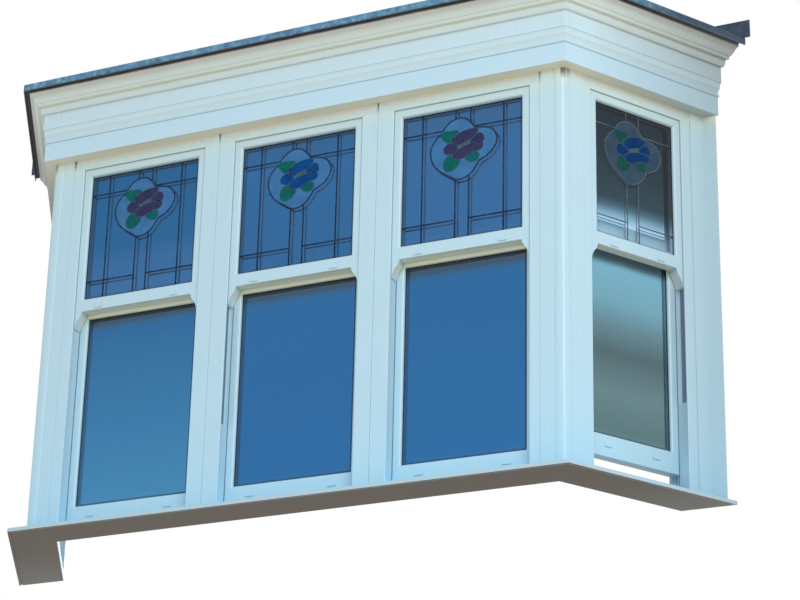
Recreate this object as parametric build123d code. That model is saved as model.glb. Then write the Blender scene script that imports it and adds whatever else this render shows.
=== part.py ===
from build123d import *
import os
from math import cos, radians, sin, tan

# A bay of five vertical sliding sash windows in white plastic sections: three across the front
# and one on each splayed side, on a mitred sill, under a moulded cornice with a lead roof.
# Millimetres. The front faces -Y, the wall is at the back, and the sill's underside is at Z 0.
# In the sections below, "out" is measured outwards from the outer face of the window frames,
# "in" is measured inwards from it, and heights are measured from the sill's underside.

# Plan of the bay
splay = 60            # turn of a side window from the front ones, in degrees
front_width = 750     # one front window
front_count = 3       # front windows, coupled side by side
side_width = 625      # one side window
end_face = 54.75      # from the end of a side window to the wall
post_neck = 2.7       # half of what the corner post keeps between the frames' back corners
coupling_gap = 1      # between one window frame and the next

# Sill
nose_height = 16
sill_reach = 80       # nose, out from the frames
sill_fall = 3         # slope of the weathered top, in degrees
nose_round = 3
drip_width = 6        # groove under the nose
drip_depth = 4
drip_inset = 12       # from the nose to the groove

# Window frame
frame_height = 1703.5
frame_depth = 120
frame_face = 73       # width of the frame's face, from its end to the opening
lip = 12              # how far the lips stand in past the sashes' edges
front_lip = 7.5       # thickness of the outer lip
parting_bead = 5      # between the outer and the inner track
bottom_member = 12    # height of the frame's bottom bar
lip_round = 4
end_round = 2
slot_width = 8        # the two balance slots in each track
slot_depth = 12
slot_rib = 10         # the rib between them

# Sashes
sash_thick = 45
run_gap = 0.4         # between a sash and the track that it runs in
stile_face = 37       # visible width of a stile, from the frame's lip to the glass
top_rail_face = 38    # visible height of the upper sash's top rail
meeting_rail = 57     # upper sash's bottom rail
lower_sash_height = 992.6
lower_top_rail = 62
bottom_rail = 92
meeting_overlap = 45  # height that the two meeting rails share
glass_setback = 12.5  # from a sash's face to its glass
glass_thick = 24      # sealed double-glazed unit
rebate = 15           # how far the glazing rebate reaches past the visible glass
glass_margin = 3      # left free around the unit in its rebate
ovolo = 11            # round on the sash's glazing edge
bead_slope = 5        # chamfer on the inner glazing bead
bead_gap = 0.2        # around the bead ring in its rebate

# Horns under the upper sash's stiles
horn_length = 75
horn_quirk = 3        # small square step under the rail
horn_neck = 20        # width where the hollow turns into the round
horn_neck_drop = 32   # height of that turn below the rail
horn_tip = 4          # width at the tip
horn_bow = 3.5        # depth of the hollow and of the round

# Covers that close the outer track below the upper sash
cover_gap = 2         # under the horn
middle_cover = 349    # length on the front middle window
right_cover = 380     # length on the right-hand window

# Drain caps on the bottom rails
cap_width = 36
cap_height = 10
cap_depth = 4
cap_from_glass = 80   # from the side of the glass to the cap's middle
upper_cap_level = 13  # from the bottom of the rail to the cap's middle
lower_cap_level = 45

raised = 89           # how far the right-hand lower sash stands open

# Corner posts and end posts
post_leaf = 4         # how far the post's leaves stand proud of the frames
post_cover = 24.6     # how far a leaf laps over the frame beside it
lobe_width = 36       # each of the two rounds beside the corner line
lobe_rise = 2.5
groove_width = 5
groove_depth = 2.5
wall_trim_reach = 54  # trim on the wall, along it from the side windows' face
wall_trim_thick = 11

# Lower part of the cornice: fascia, bead and bed mould
fascia_lap = 23.7     # how far it hangs down over the frames' heads
fascia_out = 57
fascia_height = 83
bead_height = 15
bead_out = 6          # past the fascia
quirk_height = 4
bed_height = 46
bed_out = 13          # past the fascia
bed_hollow = 1        # how far the ogee bows in and out
bed_swell = 1.5
cornice_back = 60     # how far the cornice sits in over the frames

# Upper part of the cornice: flat band, small mould and crown
band_out = 72
band_height = 73
small_mould_height = 31
small_mould_step = 10
small_mould_out = 19  # past the band
small_mould_swell = 2.5
crown_step = 14       # flat underside of the crown
crown_foot = 13       # square fillet along the crown's lower edge
crown_quirk = 3       # small step above it
crown_height = 52
crown_bow = 2         # how far the crown bows in and out
crown_out = 142
crown_fillet = 14

# Roof
deck_thick = 18
lead_thick = 4
lead_out = 168
lead_drop = 34        # height of the turned-down edge
lead_gap = 0.3        # between the deck's edge and the lead
lead_round = 5
upstand = 80          # lead turned up against the wall
upstand_past = 22     # how far it runs past the roof's edge

# Places that follow from the sizes above
turn = radians(splay)
post_inset = frame_depth * tan(turn / 2) + post_neck
corner_x = front_count * front_width / 2 + post_inset
bay_depth = (post_inset + side_width + end_face) * sin(turn)
face_y = lead_out - (bay_depth + lead_out) / 2
wall_y = face_y + bay_depth
seat = nose_height + sill_reach * tan(radians(sill_fall))
member_top = seat + bottom_member
frame_top = seat + frame_height
fascia_level = frame_top - fascia_lap
track = sash_thick + 2 * run_gap
outer_track = front_lip
inner_track = outer_track + track + parting_bead
recess = frame_face - lip
upper_in = outer_track + run_gap
lower_in = inner_track + run_gap
lower_bottom = member_top + run_gap
lower_top = lower_bottom + lower_sash_height
upper_bottom = lower_top - meeting_overlap
upper_top = frame_top - recess - run_gap
horn_bottom = upper_bottom - horn_length
band_level = fascia_level + fascia_height + bead_height + quirk_height + bed_height
crown_level = band_level + band_height + small_mould_height
roof_level = crown_level + crown_height + crown_fillet
deck_top = roof_level + deck_thick
roof_top = deck_top + lead_thick
far = 3000            # longer than any run


def block(x_range, y_range, z_range):
    """A plain box between pairs of limits."""
    spans = (x_range, y_range, z_range)
    middle = [(low + high) / 2 for low, high in spans]
    size = [high - low for low, high in spans]
    return Pos(*middle) * Box(*size)


def prism(points, low, high):
    """An upright prism on a plan of points."""
    return Pos(0, 0, low) * extrude(make_face(Polyline(*points, close=True)), high - low)


def edges_where(shape, test):
    return [edge for edge in shape.edges() if test(edge.center())]


def corner_out(out):
    """The right-hand corner of the bay's plan, at a distance out from the frames."""
    return corner_x + out * tan(turn / 2), face_y - out


def wall_x(out):
    """Where the right-hand side's plan line meets the wall, at a distance out."""
    return corner_x + bay_depth / tan(turn) + out / sin(turn)


def bay_plan(out):
    """The bay's plan at a distance out, closed along the wall."""
    x, y = corner_out(out)
    return [(-wall_x(out), wall_y), (-x, y), (x, y), (wall_x(out), wall_y)]


# Each side of the bay is drawn facing -Y and then set in its place. The three zones meet in the
# mitre planes at the corners and end at the wall.
front_place = Pos(0, face_y, 0)
right_place = Pos(corner_x, face_y, 0) * Rot(0, 0, splay)
outer_corner = corner_out(bay_depth)
inner_corner = corner_out(-bay_depth)
front_zone = prism([(-inner_corner[0], wall_y), (-outer_corner[0], outer_corner[1]), outer_corner,
                    (inner_corner[0], wall_y)], -roof_top, 2 * roof_top)
right_zone = prism([(inner_corner[0], wall_y), outer_corner, (far, outer_corner[1]),
                    (far, wall_y)], -roof_top, 2 * roof_top)


def mirrored(shape):
    return mirror(shape, Plane.YZ)


def three_sides(section):
    """A section, drawn as (out, height), run along all three sides and mitred at the corners."""
    run = extrude(Plane.YZ * mirror(section, Plane.YZ), far, both=True)
    right = (right_place * run) & right_zone
    return {"front": (front_place * run) & front_zone, "left": mirrored(right), "right": right}


def sill_section():
    outline = Polyline((sill_reach, nose_height), (0, seat), (-frame_depth, seat), (-frame_depth, 0),
                       (sill_reach, 0), close=True)
    face = make_face(outline)
    nose = [corner for corner in face.vertices() if corner.X > sill_reach - 1 and corner.Y > 1]
    face = fillet(nose, nose_round)
    groove_x = sill_reach - drip_inset
    return face - Pos(groove_x, 0) * Rectangle(drip_width, 2 * drip_depth)


def fascia_section():
    """Fascia with a round bead, a quirk and an ogee bed mould, stepped over the frames' heads."""
    bead_low = fascia_level + fascia_height
    bead_top = bead_low + bead_height
    bed_low = bead_top + quirk_height
    bed_end = (fascia_out + bed_out, band_level)
    bed_mid = (fascia_out + bed_out * 2 / 3, bed_low + bed_height * 0.45)
    return make_face(
        Polyline((0, frame_top), (0, fascia_level), (fascia_out, fascia_level),
                 (fascia_out, bead_low))
        + ThreePointArc((fascia_out, bead_low), (fascia_out + bead_out, (bead_low + bead_top) / 2),
                        (fascia_out, bead_top))
        + Line((fascia_out, bead_top), (fascia_out, bed_low))
        + SagittaArc((fascia_out, bed_low), bed_mid, bed_hollow)
        + SagittaArc(bed_mid, bed_end, bed_swell)
        + Polyline(bed_end, (-cornice_back, band_level), (-cornice_back, frame_top), (0, frame_top))
    )


def crown_section():
    """Flat band, small round mould, and the crown: its foot, its hollow and round, its fillet."""
    mould_low = band_level + band_height
    mould_start = (band_out + small_mould_step, mould_low)
    mould_end = (band_out + small_mould_out, crown_level)
    foot_out = band_out + small_mould_out + crown_step
    crown_start = (foot_out + crown_quirk, crown_level + crown_foot)
    crown_end = (crown_out, crown_level + crown_height)
    crown_mid = ((crown_start[0] + crown_end[0]) / 2, (crown_start[1] + crown_end[1]) / 2)
    return make_face(
        Polyline((-cornice_back, band_level), (band_out, band_level), (band_out, mould_low),
                 mould_start)
        + SagittaArc(mould_start, mould_end, -small_mould_swell)
        + Polyline(mould_end, (foot_out, crown_level), (foot_out, crown_level + crown_foot),
                   crown_start)
        + SagittaArc(crown_start, crown_mid, -crown_bow)
        + SagittaArc(crown_mid, crown_end, crown_bow)
        + Polyline(crown_end, (crown_out, roof_level), (-cornice_back, roof_level),
                   (-cornice_back, band_level))
    )


def window_frame(width):
    """Head, jambs and bottom bar with lips, two tracks and balance slots, centred on X 0."""
    half = width / 2 - coupling_gap / 2
    opening = width / 2 - frame_face
    whole = block((-half, half), (0, frame_depth), (seat, frame_top))
    whole -= block((-opening, opening), (0, frame_depth), (member_top, frame_top - frame_face))
    lip_edges = edges_where(whole, lambda c: c.Y < 1 and abs(c.X) < opening + 1
                            and member_top - 1 < c.Z < frame_top - 1)
    whole = fillet(lip_edges, lip_round)
    ends = edges_where(whole, lambda c: c.Y < 1 and abs(c.X) > half - 1)
    whole = fillet(ends, end_round)
    wide = width / 2 - recess
    for start in (outer_track, inner_track):
        whole -= block((-wide, wide), (start, start + track), (member_top, frame_top - recess))
        middle = start + track / 2
        for side in (-1, 1):
            slot = middle + side * (slot_rib + slot_width) / 2
            whole -= block((-wide - slot_depth, wide + slot_depth),
                           (slot - slot_width / 2, slot + slot_width / 2),
                           (member_top, frame_top - recess))
    return whole


def sash(width, low, high, low_rail, high_rail):
    """A sash with round glazing edges and a rebate for its glass, its face at Y 0."""
    half = width / 2 - recess - run_gap
    glass = width / 2 - frame_face - stile_face
    whole = block((-half, half), (0, sash_thick), (low, high))
    whole -= block((-glass, glass), (0, sash_thick), (low + low_rail, high - high_rail))
    inner = edges_where(whole, lambda c: c.Y < 1 and abs(c.X) < glass + 1
                        and low + low_rail - 1 < c.Z < high - high_rail + 1)
    whole = fillet(inner, ovolo)
    return whole - block((-glass - rebate, glass + rebate), (glass_setback, sash_thick),
                         (low + low_rail - rebate, high - high_rail + rebate))


def sash_glass(width, low, high):
    """The sealed unit, seated on the back of the sash's glazing edge."""
    half = width / 2 - frame_face - stile_face + rebate - glass_margin
    reach = rebate - glass_margin
    return block((-half, half), (glass_setback, glass_setback + glass_thick),
                 (low - reach, high + reach))


def glazing_bead(width, low, high):
    """The ring of bead that holds the unit from inside."""
    glass = width / 2 - frame_face - stile_face
    reach = rebate - bead_gap
    start = glass_setback + glass_thick
    ring = block((-glass - reach, glass + reach), (start, sash_thick), (low - reach, high + reach))
    ring -= block((-glass, glass), (start, sash_thick), (low, high))
    inner = edges_where(ring, lambda c: c.Y > sash_thick - 1 and abs(c.X) < glass + 1
                        and low - 1 < c.Z < high + 1)
    return chamfer(inner, bead_slope)


def horn(width, side):
    """A run-through horn: the stile's end, cut to a hollow and a round below the rail."""
    edge = width / 2 - recess - run_gap
    jamb = width / 2 - frame_face
    turn_level = upper_bottom - horn_neck_drop
    step = stile_face - horn_quirk
    neck = (jamb - horn_neck, turn_level)
    tip = (jamb - horn_tip, horn_bottom)
    shape = make_face(
        Polyline((edge, upper_bottom), (jamb - stile_face, upper_bottom),
                 (jamb - stile_face, upper_bottom - horn_quirk),
                 (jamb - step, upper_bottom - horn_quirk))
        + SagittaArc((jamb - step, upper_bottom - horn_quirk), neck, -horn_bow)
        + SagittaArc(neck, tip, horn_bow)
        + Polyline(tip, (edge, horn_bottom), (edge, upper_bottom))
    )
    solid = Pos(0, sash_thick, 0) * extrude(Plane.XZ * shape, sash_thick)
    return solid if side > 0 else mirrored(solid)


def upper_sash(width):
    body = sash(width, upper_bottom, upper_top, meeting_rail, top_rail_height)
    return body + horn(width, 1) + horn(width, -1)


def drain_cap(x, face, z):
    """A small hood over a drain slot, its back flat on a rail's face."""
    cap = block((x - cap_width / 2, x + cap_width / 2), (face - cap_depth, face),
                (z - cap_height / 2, z + cap_height / 2))
    upper = edges_where(cap, lambda c: c.Y < face - cap_depth + 1 and c.Z > z + cap_height / 2 - 1)
    cap = fillet(upper, cap_depth * 0.7)
    return cap


def drain_caps(width, face, z):
    reach = width / 2 - frame_face - stile_face - cap_from_glass
    return [drain_cap(side * reach, face, z) for side in (-1, 1)]


def track_covers(width, length):
    """Strips that fill the outer track, flush with the lip."""
    opening = width / 2 - frame_face
    strips = []
    for side in (-1, 1):
        low, high = sorted((side * opening, side * (opening + lip)))
        strips.append(block((low, high), (outer_track, outer_track + track),
                            (member_top, member_top + length)))
    return strips


def front_point(back, out):
    """A point on the front side's plan, measured back from the right-hand corner line."""
    return corner_x - back, face_y - out


def side_point(back, out):
    """The same on the right-hand side's plan."""
    return (corner_x + back * cos(turn) + out * sin(turn),
            face_y + back * sin(turn) - out * cos(turn))


def corner_post():
    """Two leaves that lap the frames, two rounds beside the corner line, and a core between."""
    lap = post_inset + post_cover - coupling_gap / 2
    near = groove_width / 2

    def half_face(point):
        flat = Polyline(point(lap, 0), point(lap, post_leaf),
                        point(lobe_width + groove_width, post_leaf),
                        point(lobe_width + groove_width / 2, post_leaf - groove_depth),
                        point(lobe_width, post_leaf))
        lobe = ThreePointArc(point(lobe_width, post_leaf),
                             point((lobe_width + near) / 2, post_leaf + lobe_rise),
                             point(near, post_leaf))
        return flat + lobe + Line(point(near, post_leaf), corner_out(post_leaf - groove_depth))

    back = Polyline(front_point(lap, 0), front_point(post_inset, 0),
                    front_point(post_inset, -frame_depth), side_point(post_inset, -frame_depth),
                    side_point(post_inset, 0), side_point(lap, 0))
    face = make_face(half_face(front_point) + half_face(side_point) + back)
    lower = Pos(0, 0, seat) * extrude(face, fascia_level - seat)
    core = prism([front_point(post_inset, 0), front_point(post_inset, -frame_depth),
                  side_point(post_inset, -frame_depth), side_point(post_inset, 0),
                  (corner_x, face_y)], seat, frame_top)
    return lower + core


def end_post(sill):
    """Leaf over the side window's end, core against the wall, and trim flat on the wall."""
    start = post_inset + side_width
    lap = start - post_cover
    leaf_end = (bay_depth - wall_trim_thick + post_leaf * cos(turn)) / sin(turn)
    trim_x = wall_x(0) + wall_trim_reach
    outline = [side_point(lap, 0), side_point(lap, post_leaf), side_point(leaf_end, post_leaf),
               (trim_x, wall_y - wall_trim_thick), (trim_x, wall_y),
               (wall_x(0), wall_y), side_point(start, 0)]
    core_end = (bay_depth - start * sin(turn)) / cos(turn)
    core = [side_point(start, 0), (wall_x(0), wall_y), side_point(start, -core_end)]
    whole = prism(outline, nose_height, fascia_level) + prism(core, seat, frame_top)
    return whole - sill


top_rail_height = top_rail_face + lip - run_gap
sill = three_sides(sill_section())
fascia = three_sides(fascia_section())
crown = three_sides(crown_section())

nodes = {}
for side in ("front", "left", "right"):
    nodes[f"sill_{side}"] = sill[side]
    nodes[f"fascia_{side}"] = fascia[side]
    nodes[f"crown_{side}"] = crown[side]

post = corner_post()
wall_post = end_post(sill["right"])
nodes["corner_post_right"] = post
nodes["corner_post_left"] = mirrored(post)
nodes["end_post_right"] = wall_post
nodes["end_post_left"] = mirrored(wall_post)

# Name, place, width, how far the lower sash stands open, and the length of its track covers
long_cover = horn_bottom - cover_gap - member_top
side_middle = post_inset + side_width / 2
left_place = Pos(-corner_x, face_y, 0) * Rot(0, 0, -splay)
windows = [
    ("front_left", front_place * Pos(-front_width, 0, 0), front_width, 0, long_cover),
    ("front_middle", front_place, front_width, 0, middle_cover),
    ("front_right", front_place * Pos(front_width, 0, 0), front_width, 0, long_cover),
    ("left", left_place * Pos(-side_middle, 0, 0), side_width, 0, long_cover),
    ("right", right_place * Pos(side_middle, 0, 0), side_width, raised, right_cover),
]
in_front_of_wall = block((-far, far), (-far, wall_y), (-far, far))
covers = []
caps = []
beads = []
for name, place, width, lift, cover in windows:
    frame = place * window_frame(width)
    if name in ("left", "right"):
        frame = frame & in_front_of_wall
    nodes[f"frame_{name}"] = frame

    upper = place * Pos(0, upper_in, 0)
    lower = place * Pos(0, lower_in, lift)
    nodes[f"upper_sash_{name}"] = upper * upper_sash(width)
    nodes[f"lower_sash_{name}"] = lower * sash(width, lower_bottom, lower_top, bottom_rail,
                                               lower_top_rail)
    glazing = {
        "upper": (upper, upper_bottom + meeting_rail, upper_top - top_rail_height),
        "lower": (lower, lower_bottom + bottom_rail, lower_top - lower_top_rail),
    }
    for level, (at, low, high) in glazing.items():
        nodes[f"{level}_glass_{name}"] = at * sash_glass(width, low, high)
        beads.append(at * glazing_bead(width, low, high))
    caps += [upper * cap for cap in drain_caps(width, 0, upper_bottom + upper_cap_level)]
    caps += [lower * cap for cap in drain_caps(width, 0, lower_bottom + lower_cap_level)]
    covers += [place * strip for strip in track_covers(width, cover)]

nodes["track_covers"] = Compound(children=covers)
nodes["drain_caps"] = Compound(children=caps)
nodes["glazing_beads"] = Compound(children=beads)

deck_out = lead_out - lead_thick - lead_gap
nodes["roof_deck"] = prism(bay_plan(deck_out), roof_level, deck_top)
lead = prism(bay_plan(lead_out), roof_top - lead_drop, roof_top)
lead = fillet(edges_where(lead, lambda c: c.Z > roof_top - 1 and c.Y < wall_y - 1), lead_round)
lead -= prism(bay_plan(lead_out - lead_thick), roof_top - lead_drop, deck_top)
nodes["lead_roof"] = lead
upstand_half = wall_x(lead_out) + upstand_past
nodes["lead_flashing"] = block((-upstand_half, upstand_half), (wall_y - lead_thick, wall_y),
                               (roof_top, roof_top + upstand))

os.makedirs("parts", exist_ok=True)
for name, shape in nodes.items():
    export_step(shape, f"parts/{name}.step")
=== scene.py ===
from math import cos, radians, sin

import bmesh
import bpy
from mathutils import Matrix, Vector


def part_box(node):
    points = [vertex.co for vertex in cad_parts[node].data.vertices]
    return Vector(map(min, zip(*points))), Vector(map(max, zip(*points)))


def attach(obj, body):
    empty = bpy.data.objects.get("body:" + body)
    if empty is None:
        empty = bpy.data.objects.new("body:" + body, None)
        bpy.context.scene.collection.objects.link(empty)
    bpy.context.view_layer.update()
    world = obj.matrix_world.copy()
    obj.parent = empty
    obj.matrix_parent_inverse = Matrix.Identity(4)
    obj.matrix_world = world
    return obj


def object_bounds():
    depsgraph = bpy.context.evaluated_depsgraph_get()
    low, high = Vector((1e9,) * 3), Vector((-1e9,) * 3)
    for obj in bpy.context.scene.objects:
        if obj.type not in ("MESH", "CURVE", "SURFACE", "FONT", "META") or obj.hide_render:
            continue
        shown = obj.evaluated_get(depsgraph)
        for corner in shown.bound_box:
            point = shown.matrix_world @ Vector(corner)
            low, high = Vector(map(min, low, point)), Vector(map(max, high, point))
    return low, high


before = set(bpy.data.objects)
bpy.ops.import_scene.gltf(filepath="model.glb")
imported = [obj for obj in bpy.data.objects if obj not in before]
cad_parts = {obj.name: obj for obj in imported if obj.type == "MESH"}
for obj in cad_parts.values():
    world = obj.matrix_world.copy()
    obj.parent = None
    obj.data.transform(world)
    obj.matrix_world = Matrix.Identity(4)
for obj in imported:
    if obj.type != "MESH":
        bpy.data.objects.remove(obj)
cad_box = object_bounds()

MM = 0.001
BODY = "root"
bead_lap = 12.0    # how far a pane goes into its sash, behind the glazing beads, in millimetres


def camera():
    """The photograph's viewpoint, in the street, below and to the right of the bay. It was fitted
    to points on the frames, the sill and the cornice."""
    viewpoint = (4.34017, -8.28076, -2.82791)
    yaw, pitch, roll = radians(25.56), radians(22.14), radians(1.28)
    forward = Vector((-sin(yaw) * cos(pitch), cos(yaw) * cos(pitch), sin(pitch)))
    right = Vector((cos(yaw), sin(yaw), 0))
    above = right.cross(forward)
    turned_right = right * cos(roll) + above * sin(roll)
    turned_above = above * cos(roll) - right * sin(roll)
    eye = bpy.data.objects.new("camera", bpy.data.cameras.new("camera"))
    bpy.context.scene.collection.objects.link(eye)
    turn = Matrix((turned_right, turned_above, -forward)).transposed()
    eye.matrix_world = Matrix.Translation(viewpoint) @ turn.to_4x4()
    eye.data.sensor_width = 36
    eye.data.lens = 108.26
    eye.data.clip_end = 200
    bpy.context.scene.camera = eye


# Materials

def colour(hex_code):
    """An sRGB hex value turned to the linear colour that the shaders take."""
    channels = [int(hex_code[i:i + 2], 16) / 255 for i in (1, 3, 5)]
    linear = [c / 12.92 if c <= 0.04045 else ((c + 0.055) / 1.055) ** 2.4 for c in channels]
    return (*linear, 1.0)


def add(tree, kind, settings=None, links=None):
    """Adds a node, sets its properties and socket values, and links its inputs."""
    made = tree.nodes.new(kind)
    for name, value in (settings or {}).items():
        if isinstance(name, int) or name in made.inputs:
            made.inputs[name].default_value = value
        elif name == "stops":
            points = made.color_ramp.elements
            while len(points) < len(value):
                points.new(0.5)
            for point, (place, shade) in zip(points, value):
                point.position = place
                point.color = shade
        else:
            setattr(made, name, value)
    for name, source in (links or {}).items():
        tree.links.new(source, made.inputs[name])
    return made


def new_material(name):
    """A material with its own empty tree and an output."""
    made = bpy.data.materials.new(name)
    made.use_nodes = True
    made.node_tree.nodes.clear()
    return made, made.node_tree, made.node_tree.nodes.new("ShaderNodeOutputMaterial")


white = (1, 1, 1, 1)

# Real sizes of the surface patterns
extrusion_ripple = 9 * MM    # the slight orange peel of a hot extruded skin
brush_mark = 2.5 * MM        # paint laid along a moulding, drawn coarser than it is
brush_stroke = 60 * MM
dirt_patch = 170 * MM        # blotches of dust
streak_width = 13 * MM       # rain streaks down a face
streak_length = 300 * MM
crevice = 9 * MM             # how far dirt creeps out of a joint
cobweb_clump = 16 * MM
lead_mottle = 26 * MM        # cloudy patina
lead_grit = 3 * MM           # white and brown specks of it
wood_grain = 4 * MM


def foot_of(node):
    """The height of a node's lowest point, in metres, to a tenth of a millimetre."""
    return round(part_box(node)[0][2], 4)


# Where the weather leaves its marks, and where shade is painted, in metres. A pair goes from where a
# mark starts to where it is full.
fascia_level = foot_of("fascia_front")
fascia_corner = (1.205, 0.25, fascia_level)   # where it turns, left and right, y as a distance
shelter_strip = (fascia_level - 50 * MM, fascia_level)   # what the fascia keeps the rain off
front_joints = (0.375, 1.099)          # how far the two kinds of front joint are from the middle
joint_smut = (7 * MM, 2 * MM)          # distances from a front joint
corner_smut = (52 * MM, 20 * MM)       # distances from a corner of the fascia
wall_y = round(cad_box[1][1], 4)       # the wall, towards which the faces are painted darker: painted shade of the house wall
lead_level = foot_of("lead_roof")
lead_drip = (lead_level + 12 * MM, lead_level + 9 * MM)   # where water hangs and leaves dirt, and the painted shade under the lead's edge
lead_drip_wander = 12 * MM
lead_wall_shade = (-0.16, 0.09)          # towards the wall: where the lead is painted darker, painted shade near the wall


def by_height(tree, xyz, noise, heights, wander):
    """Tints a surface by (metres, hex) pairs of height, with edges that wander a little."""
    low, high = heights[0][0], heights[-1][0]
    level = add(tree, "ShaderNodeMath", {"operation": "MULTIPLY_ADD", 1: wander},
                {0: noise.outputs["Fac"], 2: xyz.outputs["Z"]})
    share = add(tree, "ShaderNodeMapRange", {"From Min": low + wander / 2,
                                             "From Max": high + wander / 2},
                {"Value": level.outputs[0]})
    return add(tree, "ShaderNodeValToRGB",
               {"stops": [((z - low) / (high - low), colour(shade)) for z, shade in heights]},
               {"Fac": share.outputs[0]}).outputs[0]


def patchy_dust_and_wall_shade(tree, xyz, patches, streaks, stain, wall_shade):
    """How much dust lies on a face, in patches and rain streaks, with the painted shade of the house
    wall added, which grows towards the wall.
    """
    soft_patches = add(tree, "ShaderNodeMapRange", {"From Min": 0.4, "From Max": 0.75},
                       {"Value": patches.outputs["Fac"]})
    thin_streaks = add(tree, "ShaderNodeMapRange", {"From Min": 0.48, "From Max": 0.8,
                                                    "To Max": stain},
                       {"Value": streaks.outputs["Fac"]})
    shade_of_wall = add(tree, "ShaderNodeMapRange", {"From Min": wall_shade[0], "From Max": wall_y,
                                                 "To Max": wall_shade[1]}, {"Value": xyz.outputs["Y"]})
    return add(tree, "ShaderNodeMath", {"operation": "MULTIPLY_ADD"},
               {0: soft_patches.outputs[0], 1: thin_streaks.outputs[0], 2: shade_of_wall.outputs[0]})


def joint_dirt_and_shade(tree):
    """Dirt that creeps out of the joints, and painted shade: the less daylight the ambient occlusion
    finds getting in, the darker.
    """
    joint = add(tree, "ShaderNodeAmbientOcclusion", {"samples": 6, "only_local": False,
                                                     "Distance": crevice})
    return add(tree, "ShaderNodeMapRange", {"From Min": 0.62, "From Max": 0.2, "To Max": 0.14},
               {"Value": joint.outputs["AO"]})


def cobweb_clumps(tree, place, sheltered, cobwebs):
    """Clumps of cobweb in the strip under the fascia."""
    threads = add(tree, "ShaderNodeTexNoise", {"Scale": 1 / cobweb_clump, "Detail": 5.0,
                                               "Roughness": 0.7}, {"Vector": place})
    clumps = add(tree, "ShaderNodeMapRange", {"From Min": 0.5, "From Max": 0.68,
                                              "To Max": cobwebs}, {"Value": threads.outputs["Fac"]})
    return add(tree, "ShaderNodeMath", {"operation": "MULTIPLY"},
               {0: clumps.outputs[0], 1: sheltered.outputs[0]})


def fascia_smuts(tree, place, streaks, sheltered, smuts):
    """Smuts that run down the front joints from the fascia, and gather in runnels under its two
    mitred corners."""
    mirrored = add(tree, "ShaderNodeVectorMath", {"operation": "ABSOLUTE"}, {0: place})
    sideways = add(tree, "ShaderNodeSeparateXYZ", links={"Vector": mirrored.outputs[0]})
    past_joint = add(tree, "ShaderNodeMath", {"operation": "SUBTRACT", 1: front_joints[0]},
                     {0: sideways.outputs["X"]})
    from_joint = add(tree, "ShaderNodeMath", {"operation": "PINGPONG",
                                              1: (front_joints[1] - front_joints[0]) / 2},
                     {0: past_joint.outputs[0]})
    groove = add(tree, "ShaderNodeMapRange", {"From Min": joint_smut[0], "From Max": joint_smut[1],
                                              "To Max": 2 * smuts}, {"Value": from_joint.outputs[0]})
    run = add(tree, "ShaderNodeMath", {"operation": "MULTIPLY"},
              {0: sheltered.outputs[0], 1: groove.outputs[0]})
    from_corner = add(tree, "ShaderNodeVectorMath", {"operation": "DISTANCE", 1: fascia_corner},
                      {0: mirrored.outputs[0]})
    gathered = add(tree, "ShaderNodeMapRange", {"From Min": corner_smut[0],
                                                "From Max": corner_smut[1],
                                                "To Max": 1.7 * smuts},
                   {"Value": from_corner.outputs["Value"]})
    runnels = add(tree, "ShaderNodeMapRange", {"From Min": 0.45, "From Max": 0.55},
                  {"Value": streaks.outputs["Fac"]})
    blots = add(tree, "ShaderNodeMath", {"operation": "MULTIPLY"},
                {0: gathered.outputs[0], 1: runnels.outputs[0]})
    return add(tree, "ShaderNodeMath", {"operation": "MAXIMUM"},
               {0: run.outputs[0], 1: blots.outputs[0]})


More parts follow.
